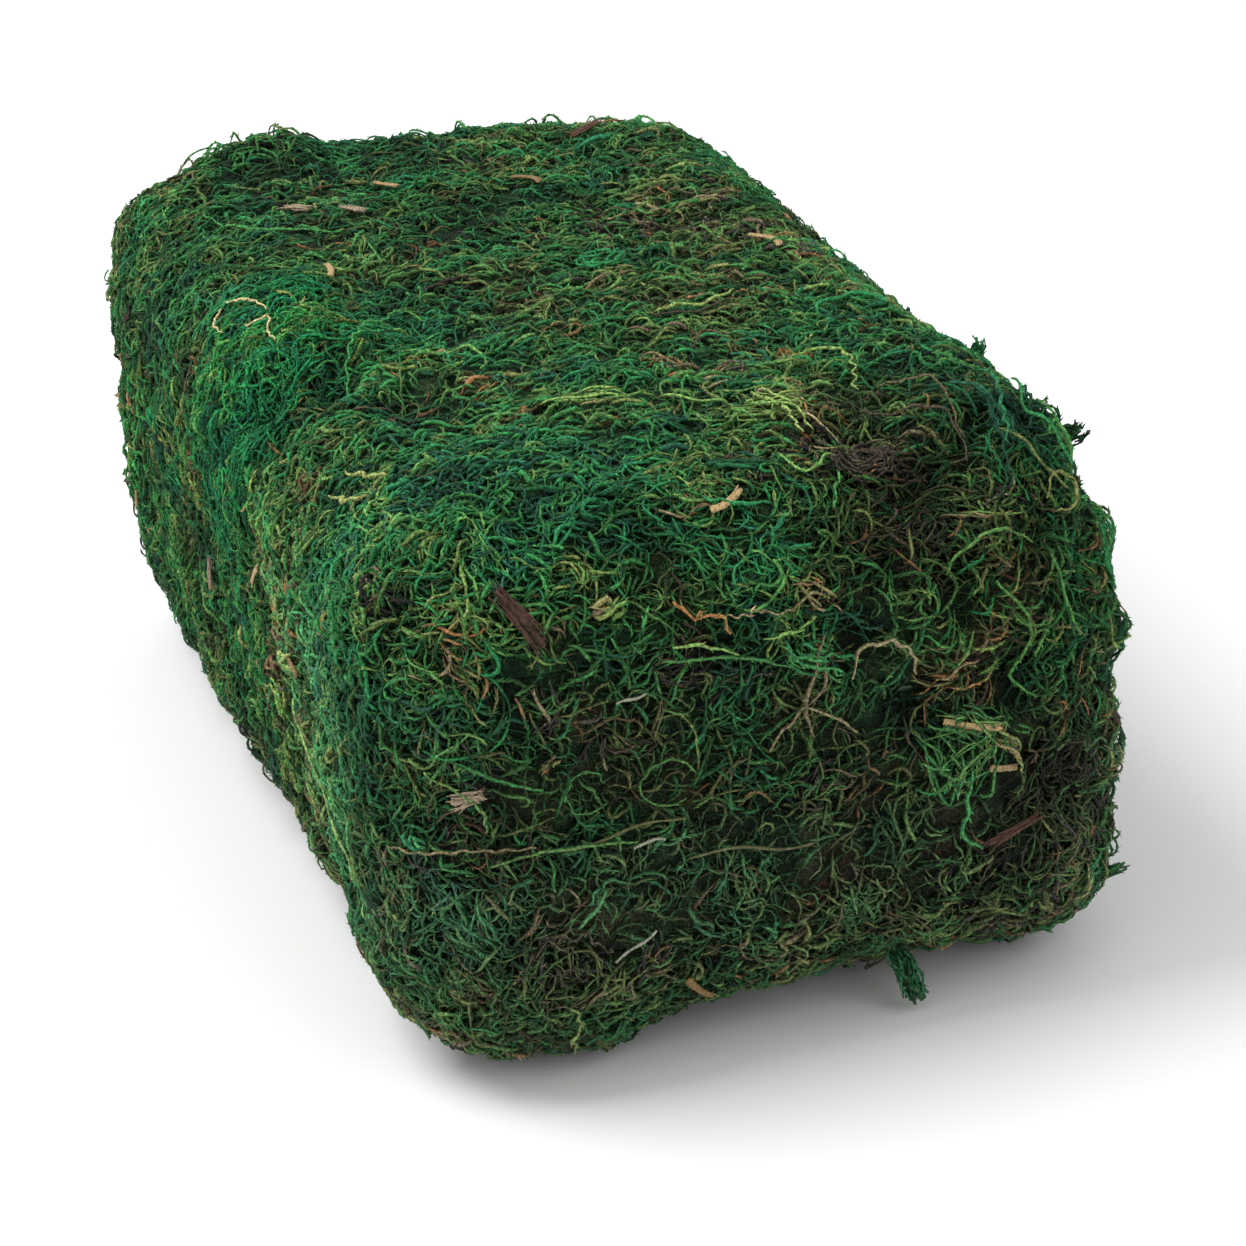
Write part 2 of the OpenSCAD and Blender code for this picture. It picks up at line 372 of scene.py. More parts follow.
def sprigs(count, stems_each, rng):
    """Bundles of stems with a shared heading, curl and colour, like torn pieces of one moss plant."""
    rings = 10
    centres = scatter(count, rng, density)
    _, normal = skin(centres)
    heading = tangent(rng.normal(0, 1, (count, 3)), normal)
    tone, light = colours_at(centres)
    tone = tone + rng.normal(0, 0.24, count)
    light = light + rng.normal(0, 0.22, count)
    bends = rng.normal(0, 0.12, (count, 1)) + rng.normal(0, 0.12, (count, rings))
    owner = np.repeat(np.arange(count), stems_each)
    total = len(owner)
    side = np.cross(normal, heading)
    roots = centres[owner] + side[owner] * rng.normal(0, 1.3, (total, 1))
    roots, _ = on_skin(roots + heading[owner] * rng.normal(0, 2.2, (total, 1)))
    spread = heading[owner] + 0.3 * rng.normal(0, 1, (total, 3))
    length = rng.uniform(4, 10, total)
    thickness = rng.uniform(0.17, 0.36, total)
    sink = rng.uniform(-1.4, -0.2, total)
    lift = np.clip(rng.normal(0, 0.6, total), -1, 1.2)
    batch = lay_stems(roots, spread, length, rings, thickness, 0.3, sink, 0.5, lift, 0.5, rng, bends[owner])
    batch.tone = np.clip(tone[owner] + rng.normal(0, 0.05, total), 0, 1)
    batch.light = np.clip(light[owner] + rng.normal(0, 0.10, total), 0, 1)
    return batch


# ---- what is laid one by one


def curve(points, share):
    """A smooth curve through the points, taken at each share of the way along it."""
    points = np.array(points, float)
    padded = np.concatenate([[2 * points[0] - points[1]], points, [2 * points[-1] - points[-2]]])
    at = share * (len(points) - 1)
    start = np.minimum(at.astype(int), len(points) - 2)
    t = (at - start)[..., None]
    a, b, c, d = (padded[start + i] for i in range(4))
    square = (2 * a - 5 * b + 4 * c - d) * t ** 2
    cube = (3 * b - a - 3 * c + d) * t ** 3
    return 0.5 * (2 * b + (c - a) * t + square + cube)


def coil(centre, near, far, turns, squash=1.0, start=0.0):
    """Points of a flat spiral on the skin, from the near radius out to the far one."""
    middle, normal = on_skin(np.array(centre, float))
    across = tangent(np.array([1.0, 0.3, 0.2]), normal)
    upward = np.cross(normal, across)
    share = np.linspace(0, 1, max(4, int(turns * 10)))
    angle = start + 2 * np.pi * turns * share
    radius = near + (far - near) * share
    sideways = across * (radius * np.cos(angle))[:, None]
    return middle + sideways + upward * (squash * radius * np.sin(angle))[:, None]


def front(*places):
    """Points at the front, each given by how far right and how high it is."""
    return [(right, FRONT, high) for right, high in places]


class HandLaid:
    """The stems that are placed one by one or in bundles, with their own seeded wobble."""

    def __init__(self, rng):
        self.rng = rng
        self.batches = []

    def arches(self, centre, reach, count, low, high):
        """Stems that stand off the moss in bows, scattered round a centre."""
        rng = self.rng
        roots = scatter(count, rng, lambda points: nearness(points, centre, reach))
        heading = rng.normal(0, 1, (count, 3))
        length = rng.uniform(4, 9, count)
        thickness = rng.uniform(0.17, 0.3, count)
        sink = rng.uniform(-1.0, 0.2, count)
        arch = rng.uniform(low, high, count)
        level = np.zeros(count)
        self.batches.append(lay_stems(roots, heading, length, 14, thickness, 0.3, sink, 0.3, level, 0.8, rng,
                                      arch=arch))

    def nest(self, loops, centre, near, far, turns, squash, tone, light, radius, rise, step=0.0, **more):
        """Loops round a centre, begun at other places. Near and far are the first loop's two radii, each
        with how much wider it is in the next one, and step is how much higher the next one lies."""
        for loop in range(loops):
            radii = [start + wider * loop for start, wider in (near, far)]
            points = coil(centre, *radii, turns, squash, 2.4 * loop)
            self.lay(points, tone[loop % len(tone)], light, radius, rise + step * loop, **more)

    def lay(self, points, tone, light, radius=0.28, rise=0.3, count=1, spread=0.0, arch=0.0, leafy=0.45,
            crook=0.16, piece=0.5, free=False):
        """Stems along the curve through the points: one for its whole way, or many, each for about that
        piece of it. They lie on the moss, or hang free of it from the first point on."""
        rng = self.rng
        several = count > 1
        part = piece * rng.uniform(0.6, 1.4, (count, 1)) if several else np.ones((1, 1))
        start = 0 if free else (1 - part) * rng.random((count, 1))
        rough = curve(points, np.linspace(0, 1, 24))
        length = np.linalg.norm(np.diff(rough, axis=0), axis=1).sum() * (1.2 * piece if several else 1)
        rings = int(np.clip(length / RING_GAP, 6, 70))
        along = np.linspace(0, 1, rings)[None, :]
        path = curve(points, start + part * along)
        path = path + spread * rng.normal(0, 0.6, (count, 1, 3))
        for waves in (1, 2):
            swing = rng.normal(0, 0.35, (count, 1, 3)) * (spread + 0.25) / waves
            path = path + swing * np.sin(waves * np.pi * along + rng.uniform(0, 6, (count, 1)))[..., None]
        for bow in (3.1, 5.3):
            swing = rng.normal(0, crook, (count, 1, 3))
            phase = rng.uniform(0, 6, (count, 1))
            path = path + swing * np.sin(2 * np.pi * along * length / bow + phase)[..., None]
        if free:
            _, normal = skin(path)
            height = np.zeros(path.shape[:2])
        else:
            path, normal = on_skin(path)
            height = rise + arch * np.sin(np.pi * along) + several * rng.normal(-0.2, 0.45, (count, 1))
            height = height - 0.8 * several * (2 * along - 1) ** 4
            path = path + normal * (relief(path) + height)[..., None]
        taper = 0.55 + 0.45 * np.sin(np.pi * (0.06 + 0.88 * along))
        knobbly = np.clip(1 + 0.18 * rng.normal(0, 1, (count, rings)), 0.65, 1.5)
        thickness = radius * rng.uniform(1 - 0.3 * several, 1, (count, 1)) * taper * knobbly
        path[..., 2] = np.maximum(path[..., 2], thickness)
        tone = tone + several * rng.normal(0, 0.07, count)
        light = np.minimum(light + several * rng.normal(0, 0.24, count), max(light, 1))
        self.batches.append(Stems(path, thickness, normal, height, tone, light, leafy))


# In the calls of lay below, the points of a stem come first, then its tone and its light, and, where they
# aren't the usual ones, its radius and its rise.


def lay_patch(hand):
    """The emerald patch on the left edge: bundles that hang over it, and curls that stand off its top."""
    lay = hand.lay
    lay([(-50, -22, 92), (-57, -26, 86), (-61, -24, 78), (-62, -14, 68), (-62, -6, 60)],
        0.82, 0.5, count=90, spread=5.0, rise=0.4, crook=0.8, leafy=0.8, piece=0.16)
    lay([(-44, -30, 94), (-53, -31, 90), (-59, -32, 84), (-61, -30, 76)],
        0.82, 0.6, count=60, spread=4.0, rise=0.7, crook=0.8, leafy=0.8, piece=0.22)
    lay([(-55, 30, 88), (-46, 14, 93), (-38, -2, 95), (-36, -18, 95), (-40, -30, 94)],
        0.8, 0.6, count=60, spread=6.0, rise=0.6, crook=0.8, leafy=0.8, piece=0.12)
    hand.arches((-45, -8, 94), 14, 260, 0.2, 1.8)
    hand.arches((-58, -18, 80), 12, 110, 0.2, 1.4)
    lay([(-51, 17, 91), (-49, 12, 92), (-48, 7, 93), (-47, 1, 93)], 0.07, 1.12, 0.25, 1.8, leafy=0)
    lay([(-52, 15, 91), (-54, 10, 90), (-53, 4, 89)], 0.07, 1.1, 0.24, 1.8, leafy=0)
    lay([(-51, -3, 92), (-48, -5, 94), (-49, -12, 93), (-49, -20, 93)], 0.07, 1.15, 0.26, 2.0, leafy=0)


def lay_top(hand):
    """Single stems and bundles on the top, from the front towards the back."""
    lay = hand.lay
    lay([(-3, -104, 94), (1, -106, 93), (8, -108, 92)], 0.9, 0.3, 0.5, 0.4, count=5, spread=0.6)
    lay([(-6, -112, 90), (-2, -113, 89), (3, -114, 88)], 0.8, 0.75, 0.45, 0.6)
    lay([(8, -107, 93), (10, -111, 91), (13, -110, 91), (15, -108, 92), (17, -109, 92)],
        0.36, 0.98, 0.3, 1.0)
    lay([(17, -109, 92), (15, -113, 90), (13, -116, 87)], 0.55, 0.8, 0.3, 0.6)
    lay([(12, -84, 96), (14, -92, 96), (14, -101, 95)], 0.26, 1.02, 0.34, 1.0)
    lay([(14, -83, 96), (16, -91, 96), (16, -100, 95)], 0.28, 0.98, 0.3, 0.9)
    lay([(4, -84, 96), (12, -88, 96), (20, -92, 96)], 0.3, 0.8, 0.28, 0.5, count=16, spread=5.0, piece=0.35)
    lay([(20, -74, 96), (27, -72, 96), (30, -80, 96), (27, -90, 96)], 0.3, 0.8, 0.3, 0.6, arch=1.5)
    lay([(-18, -69, 96), (-12, -72, 96), (-4, -75, 96)], 0.3, 0.85, 0.3, 0.5, count=10, spread=2.4)
    lay([(10, -40, 96), (14, -38, 96), (20, -38, 96), (25, -36, 96)], 0.26, 0.95, 0.32, 1.1)
    lay([(-52, -72, 91), (-50, -77, 92), (-47, -84, 93)], 0.22, 0.98, 0.36, 0.9)
    lay([(-55, -74, 89), (-54, -81, 90), (-51, -86, 91)], 0.22, 0.95, 0.34, 0.8)
    lay([(-46, -42, 95), (-41, -32, 95), (-35, -22, 96), (-28, -10, 96)], 0.6, 0.7, 0.3, 1.0, arch=1.0)
    hand.nest(5, (11, 0, 96), (1.2, 0.6), (2.4, 0.5), 0.5, 1.2, [0.78],
              0.65, 0.3, 0.6, leafy=0.8, crook=0.5)
    lay([(-46, 70, 94), (-40, 50, 96), (-28, 38, 96)], 0.55, 0.7, 0.3, 0.6)


def lay_clump(hand):
    """The dark coil of rootlets at the front right of the top, the loose clump beside it, and the bows
    that stand off the moss there and along the back edge."""
    lay = hand.lay
    hand.nest(12, (21, -109, 92), (1.5, 0.35), (1.9, 0.35), 0.7, 0.75, [0.02],
              0.26, 0.27, 1.9, -0.08, crook=0.35)
    lay([(26, -96, 95), (30, -103, 94), (36, -106, 92), (37, -112, 90)], 0.04, 0.3, 0.26, 1.5, arch=2.0)
    lay([(30, -92, 96), (36, -99, 95), (38, -108, 92)], 0.06, 0.32, 0.26, 1.2, arch=2.0)
    lay([(38, -92, 95), (42, -102, 94), (42, -112, 90), (42, -117, 84)],
        0.92, 0.5, 0.36, 1.6, count=5, spread=1.6)
    lay([(46, -94, 95), (44, -104, 93), (42, -112, 89)], 0.88, 0.75, 0.34, 2.2, arch=1.5)
    lay([(50, -96, 94), (49, -106, 91), (52, -114, 86)], 0.7, 0.75, 0.34, 2.2, arch=2.0)
    lay([(54, -98, 92), (57, -106, 88), (58, -110, 82)], 0.5, 0.8, 0.32, 0.8, arch=0.6)
    lay([(42, -109, 91), (46, -114, 88), (50, -117, 84)], 0.22, 0.55, 0.3, 1.6)
    lay([(30, -117, 85), (36, -119, 84), (44, -119, 83)], 0.3, 0.7, 0.3, 1.4, count=3, spread=1.0)
    lay([(46, -117, 83), (48, -116, 86), (51, -115, 84), (50, -117, 81), (47, -118, 81)], 0.2, 0.7, 0.3, 1.8)
    lay([(36, -120, 74), (40, -121, 68), (39, -121, 61), (38, -122, 57), (41, -121, 54)],
        0.44, 0.75, 0.36, 1.6)
    lay([(28, -121, 76), (32, -121, 80), (38, -120, 81), (43, -120, 78)], 0.4, 0.7, 0.3, 1.6, arch=1.5)
    lay([(45, -120, 76), (46, -120, 68), (48, -120, 62)], 0.5, 0.85, 0.34, 1.6)
    hand.nest(6, (61, -109, 70), (2.6, 0.5), (3.0, 0.5), 0.8, 1.4, [0.72],
              0.6, 0.34, 0.9, leafy=0.8, crook=0.3)
    hand.arches((56, -106, 84), 15, 150, 0.2, 1.8)
    hand.arches((40, -119, 70), 16, 130, 0.3, 2.2)
    hand.arches((24, -110, 90), 9, 60, 0.4, 2.2)
    hand.arches((60, -109, 30), 20, 60, 0.3, 1.6)
    hand.arches((-26, 108, 97), 12, 45, 0.3, 1.8)
    hand.arches((40, 104, 94), 18, 30, 0.3, 1.8)


def lay_front(hand):
    """The crossed stems, curls and bundles on the front."""
    lay = hand.lay
    for side in (-1, 1):
        lay(front((4, 60), (5 + 4 * side, 57), (5 + 7 * side, 54)), 0.06, 0.8, 0.3, 1.2)
    lay(front((8, 71), (6, 66), (4, 60), (5, 55)), 0.05, 0.75, 0.42, 1.2)
    lay(front((4, 60), (7, 63), (8, 67)), 0.05, 0.75, 0.3, 1.2)
    lay(front((2, 72), (4, 69), (8, 67), (11, 64)), 0.68, 1.0, 0.4, 1.0, count=16, spread=1.8, leafy=0.8)
    lay(front((-8, 78), (-3, 77), (3, 76), (8, 77)), 0.02, 0.45, 0.28, 0.9, count=3, spread=1.0)
    lay(front((-2, 73), (3, 73), (7, 74)), 0.34, 0.84, 0.3, 1.1)
    lay(front((-18, 72), (-11, 71), (-4, 70), (3, 67)), 0.5, 0.65, 0.34, 0.9)
    lay(front((-16, 74), (-11, 73), (-6, 71)), 0.32, 0.86, 0.3, 1.1)
    for turn in range(3):
        lay(front((-12, 77), (-14 + 3 * turn, 79 - turn), (-15 + 4 * turn, 80 - 3 * turn)),
            0.12, 0.55, 0.36, 1.2)
    lay(front((-38, 58), (-35, 60)), 0.12, 0.95, 0.45, 1.0, count=4, spread=0.8)
    lay(front((-28, 80), (-22, 81)), 0.26, 0.65, 0.6, 0.6, count=8, spread=1.0)
    lay(coil((-31, -121, 53), 3.0, 3.8, 0.85), 0.5, 0.6, 0.26, 0.7, crook=0.3)
    lay(coil((-18, -121, 52), 4.0, 5.2, 0.8, 0.8), 0.42, 0.6, 0.26, 0.6, crook=0.3)
    lay(front((12, 63), (14, 67), (18, 68), (21, 66), (22, 62)), 0.07, 0.8, 0.36, 1.4, arch=1.0)
    lay([(-50, -119, 62), (-44, -121, 58), (-38, -121, 55)], 0.6, 0.7, 0.3, 0.6)
    lay([(-56, -114, 51), (-55, -115, 48), (-53, -116, 46)], 0.76, 0.9, 0.44, 0.9, count=4, spread=0.9)
    lay([(-53, -117, 60), (-47, -120, 54), (-46, -120, 50)], 0.36, 0.8, 0.3, 0.8)
    lay([(-58, -111, 46), (-50, -119, 47), (-40, -121, 46)], 0.14, 0.8, 0.3, 0.9)
    lay([(-46, -120, 44), (-39, -121, 45), (-31, -121, 44), (-24, -121, 43)], 0.4, 0.75, 0.32, 0.9)
    lay(front((-36, 30), (-32, 34), (-30, 37), (-26, 36)), 0.7, 0.85, 0.36, 0.9, count=4, spread=0.8)
    lay(front((24, 50), (29, 51), (34, 49), (31, 44), (27, 43), (24, 50)),
        0.48, 0.7, 0.32, 1.0, count=56, spread=3.0, leafy=0.9, piece=0.22)
    lay(front((30, 44), (29, 38), (28, 33), (31, 30)), 0.62, 1.0, 0.42, 1.4)
    lay(front((34, 49), (38, 45), (41, 39)), 0.28, 1.0, 0.42, 1.2, count=6, spread=0.8)
    browns = [0.1, 0.2, 0.3, 0.4]
    hand.nest(9, (-37, -121, 22), (2.0, 0.8), (2.8, 0.7), 0.35, 0.9, browns,
              0.42, 0.24, 0.0, crook=0.4)
    lay([(-37, -121, 18), (-35, -120, 14), (-36, -118, 10), (-35, -114, 6)], 0.26, 0.85, 0.32, 0.8)


def lay_left(hand):
    """The pale bundle and the stems round it on the left side."""
    lay = hand.lay
    lay([(-62, -54, 55), (-62, -58, 56), (-62, -64, 57)], 0.25, 1.1, 0.42, 0.8, count=8, spread=1.5)
    lay([(-62, -28, 40), (-62, -42, 46), (-62, -50, 44), (-62, -38, 36)],
        0.28, 0.8, 0.34, 0.8, count=3, spread=1.2)
    lay([(-62, -60, 50), (-62, -78, 38), (-62, -90, 30)], 0.3, 0.75, 0.28, 0.6)


def lay_tufts(hand):
    """Tufts that stand clear of the block: low on the front, at the right corner and on the right edge."""
    lay = hand.lay
    lay([(19, -115, 10), (20, -116, 6), (21, -117, 3)],
        0.80, 0.5, 0.34, count=60, spread=1.1, leafy=0.7, piece=0.8, free=True)
    lay([(54, -112, 14), (58, -114, 16), (62, -116, 19)],
        0.6, 0.45, 0.3, count=26, spread=0.9, leafy=0.8, free=True)
    lay([(55, -68, 88), (56, -68, 92), (56, -67, 97)],
        0.75, 0.35, 0.28, count=34, spread=1.2, leafy=0.9, free=True)
    lay([(57, -99, 85), (60, -101, 87), (62, -102, 88)],
        0.6, 0.3, 0.28, count=24, spread=1.2, leafy=0.9, free=True)


def laid_by_hand(rng):
    """The stems, loops and tufts that stand out of the tangle."""
    hand = HandLaid(rng)
    for lay_place in (lay_patch, lay_top, lay_clump, lay_front, lay_left, lay_tufts):
        lay_place(hand)
    return hand.batches


# ---- meshes


def leaf_tips(batch, forward, side, over, rng):
    """Small pointed leaves on some rings of each stem: their corners, and the stem and ring of each."""
    count, rings, _ = batch.path.shape
    stem, ring = np.nonzero(rng.random((count, rings - 2)) < batch.leafy)
    ring = ring + 1
    total = len(stem)
    root = batch.path[stem, ring]
    ahead = forward[stem, ring]
    angle = rng.uniform(-0.35, 3.5, (total, 1))
    out = side[stem, ring] * np.cos(angle) + over[stem, ring] * np.sin(angle)
    across = np.cross(out, ahead)
    reach = rng.uniform(0.5, 1.3, (total, 1))
    wide = rng.uniform(0.14, 0.24, (total, 1))
    radius = batch.radius[stem, ring][:, None]
    back = root + out * (radius + 0.08) + ahead * 0.25 * reach
    tip = root + out * (radius + 0.35 * reach) + ahead * 0.9 * reach
    return np.stack([root - across * wide, root + across * wide, back, tip], 1), stem, ring


# The corners of a leaf's faces, and where the corners of each face lie in the OFBake UV map.
LEAF_FACES = np.array([(0, 2, 1), (0, 1, 3), (1, 2, 3), (2, 0, 3)])
LEAF_UV = np.array([(0.3, 0.0), (0.7, 0.0), (0.5, -0.05), (0.5, 0.05)])
CAP_UV = np.array([[(0.3, 0.05), (0.5, 0.02), (0.7, 0.05)], [(0.7, 0.95), (0.5, 0.92), (0.3, 0.95)]])
TUBE_UV = np.array([(0, 0), (0, 1), (1, 1), (1, 0)])
INSET = 0.08  # the share of a cell of the map that is left free along its edges


def stem_faces(count, rings, leaf_count):
    """The corners, in a row, of the faces of that many stems: their tubes, their caps and their leaves."""
    stem = np.arange(count)[:, None, None] * rings * SIDES
    ring = np.arange(rings - 1)[None, :, None] * SIDES
    here = stem + ring + np.arange(SIDES)
    beside = stem + ring + (np.arange(SIDES) + 1) % SIDES
    tubes = np.stack([here, here + SIDES, beside + SIDES, beside], -1)
    start = stem[:, 0] + np.arange(SIDES)
    caps = np.stack([start, start[:, ::-1] + (rings - 1) * SIDES], 1)
    leaves = count * rings * SIDES + 4 * np.arange(leaf_count)[:, None, None] + LEAF_FACES
    return [part.reshape(-1) for part in (tubes, caps, leaves)]


def stem_uvs(corner, cell, rings, leaf_stem, leaf_ring):
    """Where those corners lie in the OFBake UV map: each stem has a square cell of it."""
    ring, side = np.indices((rings - 1, SIDES))
    tubes = (np.stack([side, ring], -1)[:, :, None] + TUBE_UV) / (SIDES, rings - 1)
    tubes = INSET + tubes * (1 - 2 * INSET)
    along = np.stack([np.zeros(len(leaf_ring)), 0.1 + 0.8 * leaf_ring / (rings - 1)], -1)
    leaves = along[:, None, None] + LEAF_UV[LEAF_FACES]
    parts = (corner[:, None, None, None] + tubes * cell, corner[:, None, None] + CAP_UV * cell,
             corner[leaf_stem][:, None, None] + leaves * cell)
    return [part.reshape(-1, 2) for part in parts]


def stem_mesh(name, batches, rng):
    """One mesh of closed tapering tubes with leaf tips. Every vertex carries its tone, light and rise."""
    vertices, loops, totals, uvs = [], [], [], []
    carried = {"tone": [], "light": [], "rise": []}
    columns = max(1, math.ceil(math.sqrt(sum(len(batch.path) for batch in batches))))
    first_vertex = 0
    first_stem = 0
    for batch in batches:
        count, rings, _ = batch.path.shape
        if count == 0:
            continue
        forward = unit(np.gradient(batch.path, axis=1))
        side = unit(np.cross(forward, batch.up))
        over = np.cross(side, forward)
        turn = (np.arange(SIDES) * 2 * np.pi / SIDES + np.pi / 2)[:, None]
        around = side[:, :, None] * np.cos(turn) + over[:, :, None] * np.sin(turn)
        points = batch.path[:, :, None] + around * batch.radius[:, :, None, None]
        leaves, leaf_stem, leaf_ring = leaf_tips(batch, forward, side, over, rng)
        vertices += [points.reshape(-1, 3), leaves.reshape(-1, 3)]
        loops += [first_vertex + part for part in stem_faces(count, rings, len(leaves))]
        totals += [np.full(count * (rings - 1) * SIDES, 4), np.full(2 * count + 4 * len(leaves), 3)]
        number = first_stem + np.arange(count)
        corner = np.stack([number % columns, number // columns], -1) / columns
        uvs += stem_uvs(corner, 1 / columns, rings, leaf_stem, leaf_ring)
        for label, values, stray in (("tone", batch.tone, 0.12), ("light", batch.light, 0.15)):
            on_leaves = values[leaf_stem] + rng.normal(0, stray, len(leaves))
            carried[label] += [np.repeat(values, rings * SIDES), np.repeat(on_leaves, 4)]
        leaf_rise = batch.rise[leaf_stem, leaf_ring] + LEAF_RISE
        carried["rise"] += [np.repeat(batch.rise.reshape(-1), SIDES), np.repeat(leaf_rise, 4)]
        first_vertex += count * rings * SIDES + 4 * len(leaves)
        first_stem += count
    points = np.concatenate(vertices)
    points[:, 2] = np.maximum(points[:, 2], FLOOR_GAP)
    mesh = raw_mesh(name, points, np.concatenate(loops), np.concatenate(totals))
    layer = mesh.uv_layers.new(name="OFBake")
    layer.data.foreach_set("uv", np.concatenate(uvs).astype(np.float32).ravel())
    carry(mesh, **{label: np.concatenate(parts) for label, parts in carried.items()})
    return mesh


def raw_mesh(name, vertices, loops, totals):
    """A smooth-shaded mesh: its vertices in millimetres, its faces' corners in a row, and their sizes."""
    mesh = bpy.data.meshes.new(name)
    mesh.vertices.add(len(vertices))
    mesh.vertices.foreach_set("co", (vertices * MM).astype(np.float32).ravel())
    mesh.loops.add(len(loops))
    mesh.loops.foreach_set("vertex_index", loops.astype(np.int32))
    mesh.polygons.add(len(totals))
    mesh.polygons.foreach_set("loop_start", np.concatenate([[0], np.cumsum(totals)[:-1]]).astype(np.int32))
    mesh.polygons.foreach_set("use_smooth", np.ones(len(totals), bool))
    mesh.update(calc_edges=True)
    return mesh


def carry(mesh, **values):
    """Stores a value for every vertex under each name, for the materials to read."""
    for label, numbers in values.items():
        attribute = mesh.attributes.new(label, "FLOAT", "POINT")
        attribute.data.foreach_set("value", np.asarray(numbers, np.float32))


def add_object(name, data):
    """An object with that data, put in the scene."""
    added = bpy.data.objects.new(name, data)
    bpy.context.scene.collection.objects.link(added)
    return added


def vertices_of(mesh):
    """A mesh's vertices in millimetres."""
    points = np.zeros(len(mesh.vertices) * 3, np.float32)
    mesh.vertices.foreach_get("co", points)
    return points.reshape(-1, 3) / MM


def bed_mesh(node):
    """The mat's CAD solid remeshed, its outside sunk under the stems and roughened."""
    voxel = 1.4
    moved_layer = 4  # the moving fades out this far inside the skin
    lowest = 0.3
    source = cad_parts[node]
    copy = add_object("bed_source", source.data.copy())
    remesh = copy.modifiers.new("remesh", "REMESH")
    remesh.mode = "VOXEL"
    remesh.voxel_size = voxel * MM
    bpy.context.view_layer.update()
    evaluated = copy.evaluated_get(bpy.context.evaluated_depsgraph_get())
    mesh = bpy.data.meshes.new_from_object(evaluated)
    bpy.data.objects.remove(copy)
    points = vertices_of(mesh)
    distance, normal = skin(points)
    outer = np.clip(1 + distance / moved_layer, 0, 1)
    rough = 0.45 * smooth_noise(points, 3.2, 6) + 0.3 * smooth_noise(points, 1.9, 9)
    points = points + normal * (outer * (relief(points) - BED_DEPTH + rough))[:, None]
    points[:, 2] = np.maximum(points[:, 2], lowest)
    mesh.vertices.foreach_set("co", (points * MM).astype(np.float32).ravel())
    mesh.update()
    mesh.shade_smooth()
    tone, light = colours_at(points)
    carry(mesh, tone=np.clip(tone, 0, 1), light=np.clip(light, 0, 1), rise=rough - BED_DEPTH)
    return mesh


# ---- debris caught in the moss


BLEACHED_LENGTH = 8.5  # shorter bits of stem and bark have gone pale


def loose_solids(node):
    """Each separate solid of a CAD node: its middle, its long direction, its length and its width."""
    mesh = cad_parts[node].data
    points, same = np.unique(np.round(vertices_of(mesh), 3), axis=0, return_inverse=True)
    edges = np.zeros(len(mesh.edges) * 2, np.int32)
    mesh.edges.foreach_get("vertices", edges)
    edges = same.reshape(-1)[edges].reshape(-1, 2)
    owner = np.arange(len(points))
    while True:
        lowest = owner[edges].min(1)
        if np.all(owner[edges] == lowest[:, None]):
            break
        np.minimum.at(owner, edges[:, 0], lowest)
        np.minimum.at(owner, edges[:, 1], lowest)
    solids = []
    for first in np.unique(owner):
        cloud = points[owner == first]
        middle = (cloud.min(0) + cloud.max(0)) / 2
        axes = np.linalg.svd(cloud - cloud.mean(0))[2]
        spans = np.ptp((cloud - middle) @ axes.T, axis=0)
        solids.append((middle, axes[0], spans[0], spans[1]))
    return solids


def rod(path, up, wide, thick, grooves, rng, sides=9):
    """A closed rod along a path, with a flattened, grooved section: its vertices and its faces."""
    forward = unit(np.gradient(path, axis=0))
    side = unit(np.cross(forward, up))
    over = np.cross(side, forward)
    angle = np.arange(sides) * 2 * np.pi / sides
    groove = 1 + grooves * rng.normal(0, 1, sides) + 0.5 * grooves * rng.normal(0, 1, (len(path), sides))
    vertices = (path[:, None] + side[:, None] * (np.cos(angle) * groove * wide[:, None] / 2)[..., None]
                + over[:, None] * (np.sin(angle) * groove * thick[:, None] / 2)[..., None]).reshape(-1, 3)
    faces = []
    for ring in range(len(path) - 1):
        for here in range(sides):
            beside = (here + 1) % sides
            low, high = ring * sides, (ring + 1) * sides
            faces.append((low + here, low + beside, high + beside, high + here))
    faces.append(tuple(range(sides))[::-1])
    faces.append(tuple(range((len(path) - 1) * sides, len(path) * sides)))
    return vertices, faces


def resting_line(middle, axis, length, rings, lift, bend, rng):
    """A nearly straight path along a solid's axis, resting on the moss at its ends and on a rise between."""
    along = np.linspace(-0.5, 0.5, rings)
    straight = middle + np.outer(along * length, axis)
    base, normal = on_skin(straight)
    height = relief(base)
    ends = height[0] + (height[-1] - height[0]) * (along + 0.5)
    bump = max(0.0, np.max(height - ends))
    sideways = np.cross(normal[rings // 2], axis)
    bow = bend * rng.normal() * (0.25 - along ** 2)
    return base + normal * (ends + 0.6 * bump + lift)[:, None] + np.outer(bow * length, sideways), normal


def debris(node, name, material, slot, build):
    """One piece for a CAD node of loose bits, built bit by bit on the node's own solids."""
    rng = np.random.default_rng(SEED + len(name))
    vertices, loops, totals, tones, lights = [], [], [], [], []
    first = 0
    for middle, axis, length, width in loose_solids(node):
        tone, light = 0.8 * rng.random(), rng.random()
        if build is not straw and length < BLEACHED_LENGTH:
            tone, light = 1.0, 1.0
        for points, faces in build(middle, axis, length, width, rng):
            vertices.append(points)
            loops += [np.array(face) + first for face in faces]
            totals += [len(face) for face in faces]
            tones.append(np.full(len(points), tone))
            lights.append(np.full(len(points), light))
            first += len(points)
    mesh = raw_mesh(name, np.concatenate(vertices), np.concatenate(loops), np.array(totals))
    carry(mesh, tone=np.concatenate(tones), light=np.concatenate(lights))
    show(name, mesh, material, slot, node)


